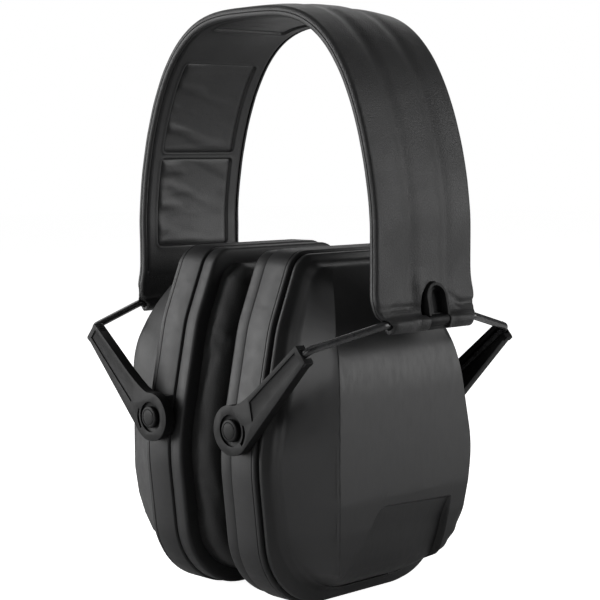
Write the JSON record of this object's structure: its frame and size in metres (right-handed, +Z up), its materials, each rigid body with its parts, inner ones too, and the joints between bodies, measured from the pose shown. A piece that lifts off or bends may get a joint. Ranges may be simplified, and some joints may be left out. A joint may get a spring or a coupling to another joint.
{
  "type": "ear muffs",
  "caption": "Passive folding ear muffs: a padded sprung headband, wire yokes with slide arms, and deep moulded ear cups with soft cushions.",
  "frame": {"origin": "centre of the bounding box's base, where the two cups stand", "axes": "+X through the wearer's left ear, -Y to the wearer's front, +Z up to the crown of the headband"},
  "size_m": [0.1208, 0.0978, 0.1897],
  "materials": {
    "leatherette": "black imitation leather with a fine grain and a soft sheen",
    "liner_vinyl": "smooth black vinyl, semi-matt",
    "pad_vinyl": "thin black vinyl, loosely stretched and softly wrinkled",
    "spring_steel": "plain sprung steel strip",
    "crown_foam": "open-cell foam",
    "wire_steel": "black coated steel wire with a satin gloss",
    "moulded_plastic": "black moulded plastic, satin",
    "ring_plastic": "black moulded plastic, satin",
    "plate_plastic": "black moulded plastic, satin",
    "shell_plastic": "black moulded plastic with a very fine spark texture",
    "cushion_vinyl": "soft black vinyl over foam, semi-matt",
    "acoustic_foam": "dark grey sound-absorbing foam, matt"
  },
  "bodies": {
    "headband": {"headband_cover": "leatherette", "headband_liner": "liner_vinyl", "headband_spring": "spring_steel", "headband_foam": "crown_foam", "pad_crown": "pad_vinyl", "pad_upper_left": "pad_vinyl", "pad_lower_left": "pad_vinyl", "end_bracket_left": "moulded_plastic", "pad_upper_right": "pad_vinyl", "pad_lower_right": "pad_vinyl", "end_bracket_right": "moulded_plastic"},
    "yoke_left": {"wire_yoke_left": "wire_steel"},
    "arms_left": {"arm_front_left": "moulded_plastic", "arm_rear_left": "moulded_plastic"},
    "cup_left": {"cup_shell_left": "shell_plastic", "cup_ring_left": "ring_plastic", "cushion_plate_left": "plate_plastic", "ear_cushion_left": "cushion_vinyl", "acoustic_foam_left": "acoustic_foam", "pivot_stud_front_left": "moulded_plastic", "pivot_stud_rear_left": "moulded_plastic"},
    "yoke_right": {"wire_yoke_right": "wire_steel"},
    "arms_right": {"arm_front_right": "moulded_plastic", "arm_rear_right": "moulded_plastic"},
    "cup_right": {"cup_shell_right": "shell_plastic", "cup_ring_right": "ring_plastic", "cushion_plate_right": "plate_plastic", "ear_cushion_right": "cushion_vinyl", "acoustic_foam_right": "acoustic_foam", "pivot_stud_front_right": "moulded_plastic", "pivot_stud_rear_right": "moulded_plastic"}
  },
  "joints": [
    {"name": "fold_left", "type": "hinge", "parent": "headband", "child": "yoke_left", "pos_m": [0.0575, 0, 0.0905], "axis": [0, 1, 0], "range_deg": [-8, 72]},
    {"name": "slide_left", "type": "slide", "parent": "yoke_left", "child": "arms_left", "axis": [0.7625, 0, 0.647], "range_m": [-0.008, 0], "deforming": ["ear_cushion_left"]},
    {"name": "cup_tilt_left", "type": "hinge", "parent": "arms_left", "child": "cup_left", "pos_m": [0.0192, 0, 0.058], "axis": [0, 1, 0], "range_deg": [-72, 8]},
    {"name": "fold_right", "type": "hinge", "parent": "headband", "child": "yoke_right", "pos_m": [-0.0575, 0, 0.0905], "axis": [0, -1, 0], "range_deg": [-8, 72]},
    {"name": "slide_right", "type": "slide", "parent": "yoke_right", "child": "arms_right", "axis": [-0.7625, 0, 0.647], "range_m": [-0.008, 0], "deforming": ["ear_cushion_right"]},
    {"name": "cup_tilt_right", "type": "hinge", "parent": "arms_right", "child": "cup_right", "pos_m": [-0.0192, 0, 0.058], "axis": [0, -1, 0], "range_deg": [-72, 8]}
  ],
  "couplings": [
    {"joint": "cup_tilt_left", "follows": "fold_left", "ratio": -1},
    {"joint": "cup_tilt_right", "follows": "fold_right", "ratio": -1}
  ]
}
